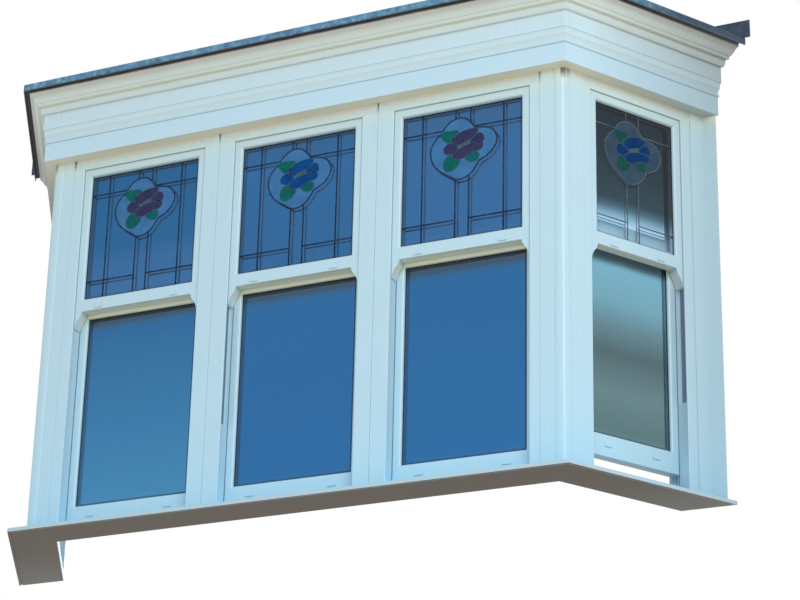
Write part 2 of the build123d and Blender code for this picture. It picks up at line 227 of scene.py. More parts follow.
def weathered_white(name, heights, under, grime_and_shade, stain, roughness, bump_scale, bump_height,
                    cobwebs=0.0, smuts=0.0, wall_shade=(0.0, 0.3), down=(-0.6, -0.97)):
    """White outdoor skin, tinted pale blue: the painted cool light of the sky. heights are (metres,
    hex) pairs that tint it from the sill upwards, bluer low down and creamier at the top. under
    holds such pairs for the faces that look down: painted light and shade from below.
    grime_and_shade is the colour of the dust and of the painted shade, and stain is how much of the
    streaked dust stays. bump_scale and bump_height are those of the skin's ripples or brush marks.
    cobwebs and smuts are how much of each the strip under the fascia holds. wall_shade is where, in
    metres towards the wall, the painted shade of the house wall starts, and how strong it is at the
    wall. down is how far a face has to turn downwards, from its first to its full tint."""
    made, tree, output = new_material(name)
    place = add(tree, "ShaderNodeTexCoord").outputs["Object"]
    xyz = add(tree, "ShaderNodeSeparateXYZ", links={"Vector": place})
    patches = add(tree, "ShaderNodeTexNoise", {"Scale": 1 / dirt_patch, "Detail": 5.0,
                                               "Roughness": 0.6}, {"Vector": place})
    stretched = add(tree, "ShaderNodeMapping", {"Scale": (1 / streak_width, 1 / streak_width,
                                                          1 / streak_length)}, {"Vector": place})
    streaks = add(tree, "ShaderNodeTexNoise", {"Scale": 1.0, "Detail": 3.0},
                  {"Vector": stretched.outputs[0]})
    sheltered = add(tree, "ShaderNodeMapRange", {"From Min": shelter_strip[0],
                                                 "From Max": shelter_strip[1]},
                    {"Value": xyz.outputs["Z"]})

    face = by_height(tree, xyz, patches, heights, 12 * MM)
    # Faces that look down take the under tint: painted light and shade from below
    below = by_height(tree, xyz, patches, under, 6 * MM)
    normal = add(tree, "ShaderNodeNewGeometry").outputs["Normal"]
    facing = add(tree, "ShaderNodeSeparateXYZ", links={"Vector": normal})
    facing_down = add(tree, "ShaderNodeMapRange", {"From Min": down[0], "From Max": down[1]},
                      {"Value": facing.outputs["Z"]})
    base = add(tree, "ShaderNodeMix", {"data_type": "RGBA"},
               {0: facing_down.outputs[0], 6: face, 7: below})

    # Dust, and the painted shade of the house wall
    dust = patchy_dust_and_wall_shade(tree, xyz, patches, streaks, stain, wall_shade)
    crept_dirt_and_shade = joint_dirt_and_shade(tree)
    webs = cobweb_clumps(tree, place, sheltered, cobwebs)
    # Dust, dirt and painted shade together, mixed towards the grime_and_shade colour
    dirt_and_shade = add(tree, "ShaderNodeMath", {"operation": "MAXIMUM"},
               {0: dust.outputs[0], 1: crept_dirt_and_shade.outputs[0]})
    all_dirt_and_shade = add(tree, "ShaderNodeMath", {"operation": "MAXIMUM"},
                   {0: dirt_and_shade.outputs[0], 1: webs.outputs[0]})
    dusty_and_shaded = add(tree, "ShaderNodeMix", {"data_type": "RGBA", 7: colour(grime_and_shade)},
                {0: all_dirt_and_shade.outputs[0], 6: base.outputs[2]})
    soot = fascia_smuts(tree, place, streaks, sheltered, smuts)
    sooty = add(tree, "ShaderNodeMix", {"data_type": "RGBA", 7: colour("#4b4836")},
                {0: soot.outputs[0], 6: dusty_and_shaded.outputs[2]})
    # Faces that look into the room have seen no weather
    indoors = add(tree, "ShaderNodeMapRange", {"From Min": 0.15, "From Max": 0.4},
                  {"Value": facing.outputs["Y"]})
    tone = add(tree, "ShaderNodeMix", {"data_type": "RGBA", 7: colour("#cfdfe6")},
               {0: indoors.outputs[0], 6: sooty.outputs[2]})

    along = add(tree, "ShaderNodeMapping", {"Scale": bump_scale}, {"Vector": place})
    rippled = add(tree, "ShaderNodeTexNoise", {"Scale": 1.0, "Detail": 1.0},
                  {"Vector": along.outputs[0]})
    bump = add(tree, "ShaderNodeBump", {"Strength": 0.25, "Distance": bump_height},
               {"Height": rippled.outputs["Fac"]})
    skin = add(tree, "ShaderNodeBsdfPrincipled", {"Roughness": roughness, "IOR": 1.52},
               {"Base Color": tone.outputs[2], "Normal": bump.outputs[0]})
    tree.links.new(skin.outputs[0], output.inputs["Surface"])
    return made


def window_glass(name, heights):
    """Float glass in a sealed unit. Most of the unit is its cavity, so it hardly bends light; its
    two wet-looking faces are a clear coat. Its tint is painted, the sky's reflection and the dark
    room seen through the glass, and goes by (metres, hex) pairs of height: paler at the foot, and
    darker at the top of the lower panes, a painted reflection of the rail above."""
    made, tree, output = new_material(name)
    place = add(tree, "ShaderNodeTexCoord").outputs["Object"]
    xyz = add(tree, "ShaderNodeSeparateXYZ", links={"Vector": place})
    clouds = add(tree, "ShaderNodeTexNoise", {"Scale": 1 / dirt_patch, "Detail": 3.0},
                 {"Vector": place})
    tone = by_height(tree, xyz, clouds, heights, 20 * MM)
    skin = add(tree, "ShaderNodeBsdfPrincipled", {
        "Roughness": 0.0, "IOR": 1.08, "Transmission Weight": 1.0,
        "Coat Weight": 0.5, "Coat Roughness": 0.0, "Coat IOR": 1.5}, {"Base Color": tone})
    tree.links.new(skin.outputs[0], output.inputs["Surface"])
    return made


def mottled(name, shades, scale, roughness, metallic=0.0, height=0.0, gloss=0.5):
    """A surface of cloudy shades, given from the least to the most of the noise. scale is the size
    of a cloud, and height is how deep it presses in."""
    made, tree, output = new_material(name)
    place = add(tree, "ShaderNodeTexCoord").outputs["Object"]
    clouds = add(tree, "ShaderNodeTexNoise", {"Scale": 1 / scale, "Detail": 4.0}, {"Vector": place})
    # Nearly all of the noise lies between 0.3 and 0.7
    spread = [0.3 + 0.4 * i / (len(shades) - 1) for i in range(len(shades))]
    tone = add(tree, "ShaderNodeValToRGB",
               {"stops": [(at, colour(shade)) for at, shade in zip(spread, shades)]},
               {"Fac": clouds.outputs["Fac"]})
    bump = add(tree, "ShaderNodeBump", {"Strength": 0.4, "Distance": height},
               {"Height": clouds.outputs["Fac"]})
    skin = add(tree, "ShaderNodeBsdfPrincipled",
               {"Roughness": roughness, "Metallic": metallic, "Specular IOR Level": gloss},
               {"Base Color": tone.outputs[0], "Normal": bump.outputs[0]})
    tree.links.new(skin.outputs[0], output.inputs["Surface"])
    return made


def lead_sheet():
    """Milled lead, dressed by hand: a dull blue-grey patina with pale bloom and brown specks, its
    blue partly a painted reflection of the sky; a darker lower edge, dirty where water hangs and
    painted with the shade under the edge; and painted shade near the wall, where the metal is
    darker."""
    made, tree, output = new_material("weathered_milled_lead")
    place = add(tree, "ShaderNodeTexCoord").outputs["Object"]
    clouds = add(tree, "ShaderNodeTexNoise", {"Scale": 1 / lead_mottle, "Detail": 6.0,
                                              "Roughness": 0.65}, {"Vector": place})
    # The patina's blue is partly a painted reflection of the sky
    patina = add(tree, "ShaderNodeValToRGB", {"stops": [
        (0.3, colour("#3a6080")), (0.45, colour("#4f80a0")), (0.6, colour("#669bb9")),
        (0.72, colour("#8eb9cd"))]}, {"Fac": clouds.outputs["Fac"]})
    specks = add(tree, "ShaderNodeTexNoise", {"Scale": 1 / lead_grit, "Detail": 3.0},
                 {"Vector": place})
    # The lower edge: dirt, and painted shade under the edge
    edge_tone = add(tree, "ShaderNodeValToRGB", {"stops": [
        (0.35, colour("#2b3744")), (0.52, colour("#4c5865")), (0.62, colour("#6f6c64")),
        (0.72, colour("#8a929a"))]}, {"Fac": specks.outputs["Fac"]})
    xyz = add(tree, "ShaderNodeSeparateXYZ", links={"Vector": place})
    uneven = add(tree, "ShaderNodeMath", {"operation": "MULTIPLY_ADD", 1: lead_drip_wander},
                 {0: clouds.outputs["Fac"], 2: xyz.outputs["Z"]})
    low_edge = add(tree, "ShaderNodeMapRange", {"From Min": lead_drip[0], "From Max": lead_drip[1]},
                   {"Value": uneven.outputs[0]})
    # Painted shade near the wall
    wall_shade_on_lead = add(tree, "ShaderNodeMapRange", {"From Min": lead_wall_shade[0],
                                                "From Max": lead_wall_shade[1], "To Max": 0.88},
                   {"Value": xyz.outputs["Y"]})
    lead_with_wall_shade = add(tree, "ShaderNodeMix", {"data_type": "RGBA", 7: colour("#26384d")},
                 {0: wall_shade_on_lead.outputs[0], 6: patina.outputs[0]})
    tone = add(tree, "ShaderNodeMix", {"data_type": "RGBA"},
               {0: low_edge.outputs[0], 6: lead_with_wall_shade.outputs[2], 7: edge_tone.outputs[0]})
    bump = add(tree, "ShaderNodeBump", {"Strength": 0.6, "Distance": 1.2 * MM},
               {"Height": clouds.outputs["Fac"]})
    skin = add(tree, "ShaderNodeBsdfPrincipled", {"Roughness": 0.55, "Metallic": 0.25},
               {"Base Color": tone.outputs[2], "Normal": bump.outputs[0]})
    tree.links.new(skin.outputs[0], output.inputs["Surface"])
    return made


# What most of the plastic has in common, and what all the paint has
plastic = {"grime_and_shade": "#7d8f92", "stain": 0.16, "roughness": 0.32, "bump_height": 0.05 * MM,
           "bump_scale": (1 / extrusion_ripple,) * 3}
brushed_paint = {"bump_height": 0.08 * MM, "wall_shade": (-0.22, 0.72),
                 "bump_scale": (1 / brush_stroke, 1 / brush_stroke, 1 / brush_mark)}

# White window plastic, extruded and polished in the die: a smooth satin gloss
# Its cream at the top, under the fascia, is partly painted warm light bounced from the soffit
upvc = weathered_white("white_upvc_extrusion",
                       [(0.0, "#aee0f8"), (0.25, "#b8e0f3"), (0.75, "#bcdeed"), (1.35, "#bddeeb"),
                        (1.60, "#bfdee8"), (1.66, "#cbe3df"), (1.68, "#dcebe3"),
                        (1.692, "#e8eada"), (1.70, "#eae6ce")],
                       [(0.0, "#a9c0c8"), (1.7, "#a9c0c8")],
                       cobwebs=0.2, smuts=0.45, **plastic)
# The same plastic on the upper sashes, the undersides of their rails and horns painted cream:
# painted warm light from below
horned_upvc = weathered_white("white_upvc_upper_sash_extrusion",
                              [(0.90, "#bcdeed"), (1.35, "#bddeeb"), (1.60, "#bfdce4"),
                               (1.66, "#c8deda")],
                              [(0.90, "#eaf0e6"), (0.975, "#eaf0e6"), (0.985, "#dcdec4"),
                               (1.03, "#dcdec4"), (1.05, "#a9c0c8"), (1.7, "#a9c0c8")],
                              down=(-0.1, -0.6), **plastic)
# The same plastic on the lower sashes, khaki at the top under the rail above and painted lighter
# there to make up for the rail's shade, with painted warm light on the faces that look down
lower_sash_upvc = weathered_white("white_upvc_lower_sash_extrusion",
                                 [(0.0, "#aee0f8"), (0.25, "#b8e0f3"), (0.9, "#bcdeec"),
                                  (0.955, "#c8e2de"), (0.97, "#e6ebd2"), (1.03, "#e6ebd2")],
                                 [(0.0, "#a9c0c8"), (0.9, "#a9c0c8"), (0.95, "#cdc8ab"),
                                  (1.03, "#cdc8ab")],
                                 **plastic)
# The same plastic on the sill, its underside painted dark brown: painted warm shade under the sill
sill_plastic = weathered_white("white_upvc_sill_extrusion",
                               [(0.0, "#bccdd3"), (0.006, "#b5d1de"), (0.016, "#abd3e6"),
                                (0.03, "#abd3e6")],
                               [(-0.01, "#4a3b21"), (0.03, "#4a3b21")],
                               **(plastic | {"grime_and_shade": "#8d9a98", "stain": 0.2, "roughness": 0.36}))
# Fascia and bed mould: gloss paint on timber. Its soffit and other faces that look down are painted
# cream and grey: painted warm light from below.
fascia_paint = weathered_white("white_gloss_paint_on_timber_fascia",
                               [(1.69, "#c0e1f0"), (1.78, "#c0e0f0"), (1.80, "#c8e2e8"),
                                (1.85, "#cae3e9")],
                               [(1.69, "#e3ddc6"), (1.72, "#e3ddc6"), (1.74, "#a3b8c2"),
                                (1.85, "#a3b8c2")],
                               grime_and_shade="#8a9fa6", stain=0.12, roughness=0.38, **brushed_paint)
# Crown: the same paint, creamier towards the lead, where the run-off stains it, and darkest just
# under the lead's edge: dirt and the painted shadow of the lead's overhang. Its faces that look down
# are painted light from below.
crown_paint = weathered_white("white_gloss_paint_on_timber_crown",
                              [(1.845, "#c7e4f0"), (1.90, "#c9e4ee"), (1.921, "#cfe1e4"),
                               (1.935, "#d2e0da"), (1.95, "#d0d9cd"), (1.97, "#dae9e5"),
                               (1.987, "#d7ded2"), (1.999, "#cfcdbd"), (2.004, "#b8b3a7"),
                               (2.0085, "#84817c"), (2.0135, "#4a4c52")],
                              [(1.845, "#a8bcc6"), (1.91, "#a8bcc6"), (1.925, "#e4e8da"),
                               (2.02, "#e4e8da")],
                              grime_and_shade="#838b88", stain=0.16, roughness=0.4, **brushed_paint)

# Clear float glass, its tint painted: the sky's reflection and the dark room seen through it. Each
# pane hangs at its own angle, so each has its own (metres, hex) pairs.
# Those of the lower side panes start at the foot of the glass, because one sash stands open.
# A painted reflection of the rail above darkens the top of the lower panes
rail_reflection = [(0.895, "#1c649c"), (0.922, "#2b5f86"), (0.94, "#304c62"), (0.963, "#4e5c5e")]
# The side panes are darker at the top: a painted reflection of the rail above
side_tints = [(0.0, "#66888f"), (0.03, "#54757a"), (0.19, "#628287"), (0.36, "#4b666c"),
              (0.47, "#5f8591"), (0.58, "#70a5b8"), (0.725, "#74afc6"), (0.748, "#45606a"),
              (0.76, "#35494f"), (0.839, "#26333b")]
panes = {
    "lower_glass_front_left": [(0.125, "#4189b6"), (0.15, "#3982b0"), (0.5, "#2d75a6"),
                               (0.85, "#236899")] + rail_reflection,
    "lower_glass_front_middle": [(0.125, "#2a70a6"), (0.15, "#1a66a1")] + rail_reflection,
    "lower_glass_front_right": [(0.125, "#2a70a6"), (0.15, "#1a68a2")] + rail_reflection,
    "upper_glass_front_left": [(1.037, "#32699c"), (1.19, "#2a659a"), (1.27, "#125f93"),
                               (1.613, "#125a8c")],
    "upper_glass_front_middle": [(1.037, "#2c669a"), (1.07, "#206296"), (1.5, "#22639a"),
                                 (1.613, "#265c88")],
    "upper_glass_front_right": [(1.037, "#336ca1"), (1.07, "#2b669c"), (1.45, "#2b669b"),
                                (1.613, "#2e5f8a")],
}
for side in ("left", "right"):
    foot = foot_of(f"lower_glass_{side}") + bead_lap * MM
    panes[f"lower_glass_{side}"] = [(foot + z, shade) for z, shade in side_tints]
    panes[f"upper_glass_{side}"] = [(1.037, "#cce4ff"), (1.10, "#b0d6f6"), (1.14, "#7cacc4"),
                                    (1.175, "#44687a"), (1.21, "#24404c"), (1.4, "#152e38"),
                                    (1.613, "#0c1f2f")]
lead = lead_sheet()
# Lead of the flashing, dressed up the wall: darker, with less bloom, the painted shade under the
# gable
flashing_lead = mottled("shaded_milled_lead", ["#22313f", "#2c4154", "#3d566a"], lead_mottle, 0.6,
                        metallic=0.2, height=0.8 * MM)
# Sawn board under the lead, gone grey-brown in the weather and painted dark: painted shade under the
# lead's edge
roof_board = mottled("weathered_and_shaded_softwood_board", ["#38383a", "#544f4c", "#71675c"], wood_grain, 0.8,
                     height=0.8 * MM)
# Self-adhesive lead strip: dull dark grey, rolled by hand
strip_lead = mottled("rolled_lead_strip_tarnished", ["#12243f", "#1c3354", "#2f4464"], 12 * MM, 0.6,
                     height=0.3 * MM, gloss=0.15)
# The same strip on the side panes, painted paler: a lit copy of the same lead
pale_strip_lead = mottled("rolled_lead_strip_of_side_panes", ["#33485a", "#445866", "#566a78"],
                          12 * MM, 0.5, height=0.3 * MM, gloss=0.3)
# The same strip on the inner faces, painted pale: a lit copy of the same lead
room_strip_lead = mottled("rolled_lead_strip_indoors", ["#8f99a3", "#b3bcc4"], 12 * MM, 0.5,
                          height=0.3 * MM)
petal_lead = mottled("fine_lead_strip", ["#3a4a66", "#4f607e"], 8 * MM, 0.5, height=0.2 * MM,
                     gloss=0.1)
# Coloured window film: thin, see-through only against strong light, so dull from outside
violet = mottled("violet_window_film", ["#2d3151", "#3a3b60"], 30 * MM, 0.4, gloss=0.04)
blue = mottled("blue_window_film", ["#083c78", "#0c4c8c"], 30 * MM, 0.4, gloss=0.04)
green = mottled("green_window_film", ["#0c5858", "#126564"], 30 * MM, 0.4, gloss=0.04)
olive = mottled("olive_window_film", ["#3c544e", "#4d675e"], 20 * MM, 0.4, gloss=0.04)
# The same films where the side panes hang in shade
shaded_blue = mottled("blue_window_film_in_shade", ["#0a2f5a", "#0e3b6c"], 30 * MM, 0.4, gloss=0.04)
shaded_green = mottled("green_window_film_in_shade", ["#13443f", "#19504a"], 30 * MM, 0.4,
                       gloss=0.04)
# Stippled pale film behind the flower
pale_film = mottled("stippled_pale_film", ["#386c9e", "#4379ab"], 45 * MM, 0.5, height=0.1 * MM,
                    gloss=0.1)
# The same film where the side panes hang in shade: painted shade
grey_film = mottled("stippled_pale_film_in_shade", ["#2b4053", "#384d60"], 45 * MM, 0.5,
                    height=0.1 * MM, gloss=0.1)
# Black EPDM gasket, extruded, dull
rubber = mottled("black_rubber_gasket", ["#0c1613", "#17231f"], 15 * MM, 0.6)
# Mill-finish aluminium spacer bar
spacer_metal = mottled("mill_aluminium_spacer", ["#97a9b8", "#aebfcb"], 6 * MM, 0.4, gloss=0.3)
# Woven pile strip that seals the sliding joints: grey round the upper sashes; round the lower ones
# and in the open tracks painted darker, the painted shade of the gaps and slots it sits in
pile = mottled("grey_brush_pile", ["#8399a3", "#9fb3bc"], 2 * MM, 0.95, height=0.5 * MM)
dark_pile = mottled("grey_brush_pile_shaded", ["#587684", "#708c98"], 2 * MM, 0.95, height=0.5 * MM)
track_pile = mottled("grey_brush_pile_of_tracks", ["#66778d", "#7d8da2"], 2 * MM, 0.95,
                     height=0.5 * MM)
# Welded and scraped mitre: a hair line, a little greyer than the skin
weld = mottled("scraped_mitre_weld", ["#a9bec6", "#b8ccd3"], 25 * MM, 0.5)


def dress_node(name):
    """The material of a CAD node."""
    if name in panes:
        return window_glass("float_" + name, panes[name])
    if name.startswith("lower_sash"):
        return lower_sash_upvc
    if name.startswith("upper_sash"):
        return horned_upvc
    if name.startswith("sill"):
        return sill_plastic
    if name == "lead_flashing":
        return flashing_lead
    if name.startswith("crown"):
        return crown_paint
    if name.startswith("fascia"):
        return fascia_paint
    if name.startswith("lead"):
        return lead
    return roof_board if name == "roof_deck" else upvc


for name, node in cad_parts.items():
    node.data.materials.clear()
    node.data.materials.append(dress_node(name))
    if "glass" in name:
        node.visible_shadow = False   # clear panes let the daylight through to what is behind them


# Pieces. Each window has its own drawing plane in millimetres: X along it, Y in from the outer
# face of its frame, Z up from the sill's underside.

def limits(node):
    """A node's lowest and highest x, y and z, in millimetres, to a hundredth."""
    return [[round(value / MM, 2) for value in corner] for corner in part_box(node)]


# Sizes that the boxes of the nodes don't tell
splay = radians(60)
corner_x = 1196.98           # where the faces of the front and of a side window would meet
side_middle = 384.48         # from there to the middle of the side window
front_step = 750.0           # from window to window on the front
head_bar = 73.0              # height of the frame's top bar
jamb_face = 47.0             # width of the frame's face beside its opening
side_gap = 2.5               # between a sash and the frame's opening
opening_past_glass = 37.0    # from the edge of the visible glass to the side of that opening
track_past_glass = 49.0      # from the edge of the visible glass to the wall of the outer track
upper_slope, lower_slope = 11.0, 9.0   # sloped edge between the glass and a sash's flat face
short_covers = {"front_middle": 381.19, "right": 412.19}   # tops of the short track covers

X, Y, Z = 0, 1, 2
frame_low, frame_high = limits("frame_front_middle")
upper_glass_low, upper_glass_high = limits("upper_glass_front_middle")
lower_glass_low, lower_glass_high = limits("lower_glass_front_middle")
upper_sash_low = limits("upper_sash_front_middle")[0]
lower_sash_low, lower_sash_high = limits("lower_sash_front_middle")

face_y = frame_low[Y]
frame_head = frame_high[Z] - head_bar
upper_low, upper_high = upper_glass_low[Z] + bead_lap, upper_glass_high[Z] - bead_lap
lower_low, lower_high = lower_glass_low[Z] + bead_lap, lower_glass_high[Z] - bead_lap
horn_tip = upper_sash_low[Z]
sash_foot, sash_head = lower_sash_low[Z], lower_sash_high[Z]   # of a closed lower sash
# How far in from the frame's face the sashes' faces and the outer faces of the glass are
upper_sash_face, lower_sash_face = upper_sash_low[Y] - face_y, lower_sash_low[Y] - face_y
upper_face, lower_face = upper_glass_low[Y] - face_y, lower_glass_low[Y] - face_y
unit = upper_glass_high[Y] - upper_glass_low[Y]   # thickness of a sealed unit
lift = limits("lower_sash_right")[0][Z] - limits("lower_sash_left")[0][Z]


def visible_half(node, turn):
    """Half the width of a pane's visible glass, to a tenth of a millimetre. The pane's box is that
    of a window turned by an angle."""
    low, high = limits(node)
    return round(((high[X] - low[X]) / 2 - unit / 2 * sin(turn)) / cos(turn) - bead_lap, 1)


front_half = visible_half("lower_glass_front_middle", 0)
side_half = visible_half("lower_glass_right", splay)


def drawing_plane(x, turn, along):
    """The place of a window's plane: from x on the front's face, turned, and along the window."""
    return (Matrix.Scale(MM, 4) @ Matrix.Translation((x, face_y, 0))
            @ Matrix.Rotation(turn, 4, "Z") @ Matrix.Translation((along, 0, 0)))


windows = [
    ("front_left", drawing_plane(0, 0, -front_step), front_half, 0.0, violet),
    ("front_middle", drawing_plane(0, 0, 0), front_half, 0.0, blue),
    ("front_right", drawing_plane(0, 0, front_step), front_half, 0.0, violet),
    ("left", drawing_plane(-corner_x, -splay, -side_middle), side_half, 0.0, shaded_blue),
    ("right", drawing_plane(corner_x, splay, side_middle), side_half, lift, shaded_blue),
]


def finish(name, bm, material):
    """Closes a piece that is in place, in metres, and lets it ride on the bay."""
    bmesh.ops.remove_doubles(bm, verts=bm.verts, dist=0.01 * MM)
    bmesh.ops.recalc_face_normals(bm, faces=bm.faces)
    mesh = bpy.data.meshes.new(name)
    bm.to_mesh(mesh)
    bm.free()
    mesh.materials.append(material)
    made = bpy.data.objects.new(name, mesh)
    bpy.context.scene.collection.objects.link(made)
    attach(made, BODY)


def ring(bm, place, half, low, high, width, depth, rounding):
    """A four-sided frame. half, low and high are its outer limits, width is that of its face, and
    depth is its (from, to) in from the window's face."""
    corners = [(-half, low), (half, low), (half, high), (-half, high)]
    start = [bm.verts.new((x, depth[0], z)) for x, z in corners]
    face = bm.faces.new(start)
    face.normal_update()
    inset = bmesh.ops.inset_individual(bm, faces=[face], thickness=width, use_even_offset=True)
    bmesh.ops.delete(bm, geom=[face], context="FACES_ONLY")
    pushed = bmesh.ops.extrude_face_region(bm, geom=inset["faces"])
    back = [part for part in pushed["geom"] if isinstance(part, bmesh.types.BMVert)]
    bmesh.ops.translate(bm, verts=back, vec=(0, depth[1] - depth[0], 0))
    whole = list({vert for face in inset["faces"] for vert in face.verts} | set(back))
    if rounding:
        rims = [edge for edge in bm.edges if edge.is_valid and edge.verts[0] in whole
                and edge.verts[1] in whole and len(edge.link_faces) == 2
                and edge.calc_face_angle(0) > 1]
        made = bmesh.ops.bevel(bm, geom=rims, offset=rounding, segments=2, profile=0.5,
                               affect="EDGES", material=-1)
        whole = list({vert for vert in whole if vert.is_valid} | set(made["verts"]))
    bmesh.ops.transform(bm, matrix=place, verts=whole)


def bar(bm, place, x, y, z, tilt=0.0):
    """A straight bar between pairs of limits, then turned about its middle in the window's plane."""
    made = bmesh.ops.create_cube(bm, size=1)["verts"]
    bmesh.ops.scale(bm, vec=(x[1] - x[0], y[1] - y[0], z[1] - z[0]), verts=made)
    middle = Matrix.Translation([(low + high) / 2 for low, high in (x, y, z)])
    bmesh.ops.transform(bm, matrix=place @ middle @ Matrix.Rotation(tilt, 4, "Y"), verts=made)


def smooth_line(curve, points, closed=False):
    """A line through points, straight where there are only two."""
    line = curve.splines.new("BEZIER")
    line.bezier_points.add(len(points) - 1)
    for knot, (x, z) in zip(line.bezier_points, points):
        knot.co = (x, z, 0)
        knot.handle_left_type = knot.handle_right_type = "AUTO" if len(points) > 2 else "VECTOR"
    line.use_cyclic_u = closed
    line.resolution_u = 6


def laid_on(bm, curve, place, depth, squash):
    """Turns a drawn curve upright, flattens it and lays it on the glass at a depth."""
    holder = bpy.data.objects.new("drawing", curve)
    mesh = bpy.data.meshes.new_from_object(holder)
    before = set(bm.verts)
    bm.from_mesh(mesh)
    new = [vert for vert in bm.verts if vert not in before]
    upright = Matrix.Rotation(radians(90), 4, "X") @ Matrix.Scale(squash, 4, (0, 0, 1))
    bmesh.ops.transform(bm, matrix=place @ Matrix.Translation((0, depth, 0)) @ upright, verts=new)
    bpy.data.objects.remove(holder)
    bpy.data.meshes.remove(mesh)
    bpy.data.curves.remove(curve)


# The leaded drawing of a pane, in millimetres from its middle and from its top edge. The flower is
# shared: a front pane has it in the middle, the narrower side panes a little further left.
side_shift = -10.0
strip_width, side_strip_width = 7.5, 5.5
strip_flatness = 0.35                  # thickness of a strip for each millimetre of width
fine_width, fine_flatness = 2.4, 0.5   # the lead round the flower's shapes
fine_proud = 0.6                       # its middle stands this far before the glass
# The eye lies over the petals, and these and the leaves over the ground
film_thick, eye_thick, ground_thick = 0.7, 0.9, 0.3
top_row, low_row = -88, -495           # the cross strips
left_stem, right_stem = -29, 31        # the pair of uprights that is the flower's stem
outer_uprights = (-177, 183)           # on the front panes alone
medallion_lobes = [
    [(-88, -90), (-65, -62), (-40, -47), (-14, -42), (12, -48), (36, -68), (54, -93)],
    [(54, -98), (92, -101), (128, -114), (150, -145), (153, -170), (141, -199), (118, -225),
     (76, -247)],
    [(-94, -101), (-118, -124), (-135, -151), (-140, -180), (-135, -213), (-121, -242),
     (-94, -271), (-72, -286), (-29, -315)],
    [(-29, -315), (-6, -317), (18, -311), (41, -296), (62, -270), (76, -247)],
]
flower_ground = [
    (-94, -99), (-65, -62), (-40, -47), (-14, -42), (12, -48), (36, -68), (58, -98), (92, -101),
    (128, -114), (150, -145), (153, -170), (141, -199), (118, -225), (76, -247), (62, -270),
    (41, -296), (18, -311), (-6, -317), (-29, -315), (-72, -286), (-94, -271), (-121, -242),
    (-135, -213), (-140, -180), (-135, -151), (-118, -124)]
petals = [
    [(-44, -144), (-38, -129), (-18, -115), (12, -104), (41, -101), (65, -105), (66, -115),
     (53, -130), (35, -147), (18, -155), (-12, -164), (-32, -161), (-42, -153)],
    [(41, -150), (65, -127), (82, -127), (94, -144), (91, -164), (71, -167), (53, -163),
     (38, -161)],
    [(-38, -199), (-18, -184), (12, -173), (47, -166), (82, -167), (88, -178), (82, -196),
     (53, -204), (18, -219), (-12, -226), (-29, -222), (-38, -210)],
    [(-81, -173), (-71, -158), (-56, -151), (-41, -155), (-21, -173), (-29, -190), (-47, -199),
     (-68, -196), (-79, -187)],
]
leaves = [
    [(-98, -106), (-88, -97), (-59, -95), (-18, -106), (-32, -118), (-41, -138), (-59, -147),
     (-77, -135), (-88, -121)],
    [(-81, -242), (-77, -224), (-59, -207), (-41, -210), (-32, -222), (-12, -230), (-15, -247),
     (-35, -268), (-59, -273), (-77, -262)],
    [(15, -224), (29, -213), (56, -206), (71, -213), (72, -236), (62, -247), (41, -247),
     (24, -239)],
]
flower_eye = [(-12, -170), (9, -155), (35, -151), (29, -161), (3, -173)]


def grown(shape, factor=1.07):
    """A drawn shape made larger about its middle."""
    x = sum(point[0] for point in shape) / len(shape)
    z = sum(point[1] for point in shape) / len(shape)
    return [(x + (px - x) * factor, z + (pz - z) * factor) for px, pz in shape]


# The petals and leaves are a little larger than they were first drawn
petals = [grown(shape) for shape in petals]
leaves = [grown(shape) for shape in leaves]


def straight_strips(half, shift):
    """Uprights, cross strips and the pair that makes the flower's stem. Those that meet the
    medallion end on its outline."""
    foot = upper_low - upper_high
    left, right = left_stem + shift, right_stem + shift
    lines = [
        [(left, foot), (left, -315)],
        [(right, foot), (right, -307)],
        [(left, -47), (left, 0)],
        [(right + 6, -65), (right + 6, 0)],
        [(-half, top_row), (-90 + shift, top_row)],
        [(54 + shift, top_row - 2), (half, top_row - 2)],
        [(-half, low_row), (left, low_row)],
        [(right, low_row), (half, low_row)],
    ]
    if half == front_half:
        lines += [[(x, foot), (x, 0)] for x in outer_uprights]
    return lines


def moved(points, shift):
    """A drawn shape moved sideways."""
    return [(x + shift, z) for x, z in points]


def drawing(round_size=0.0, thickness=0.0):
    """A new curve: a rounded strip, or with a thickness a filled flat sheet."""
    curve = bpy.data.curves.new("drawing", "CURVE")
    if thickness:
        curve.dimensions = "2D"
        curve.fill_mode = "BOTH"
        curve.extrude = thickness / 2
    else:
        curve.dimensions = "3D"
        curve.bevel_depth = round_size / 2
        curve.bevel_resolution = 2
        curve.use_fill_caps = True
    return curve


